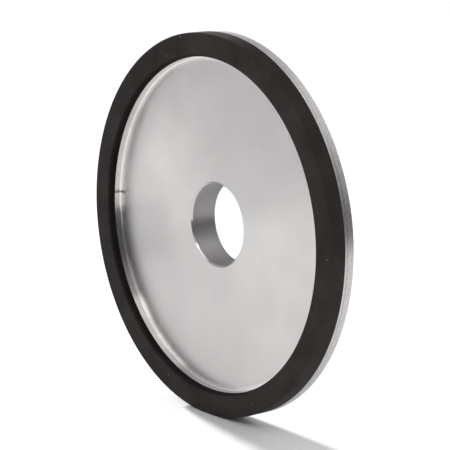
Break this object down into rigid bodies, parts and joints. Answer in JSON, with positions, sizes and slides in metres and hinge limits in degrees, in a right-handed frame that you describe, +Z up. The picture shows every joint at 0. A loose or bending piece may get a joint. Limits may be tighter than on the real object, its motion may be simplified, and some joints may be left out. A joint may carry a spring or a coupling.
{
  "type": "diamond grinding wheel",
  "caption": "Dish-shaped diamond face wheel: turned aluminium body with a recessed front, a central spindle bore and a black resin diamond rim on its front face.",
  "frame": {"origin": "on the wheel's axis, half way through its whole thickness", "axes": "+Y along the wheel's axis from the abrasive face to the back face, so the abrasive face looks along -Y; +Z up as the wheel stands on its rim"},
  "size_m": [0.15, 0.018, 0.15],
  "materials": {
    "turned_aluminium": "turned, satin",
    "diamond_resin": "matt, fine grit",
    "backing_resin": "matt",
    "bond_film": "thin cured resin"
  },
  "bodies": {
    "root": {"aluminium_body": "turned_aluminium", "diamond_rim": "diamond_resin", "backing_ring": "backing_resin", "bond_film": "bond_film"}
  },
  "joints": []
}
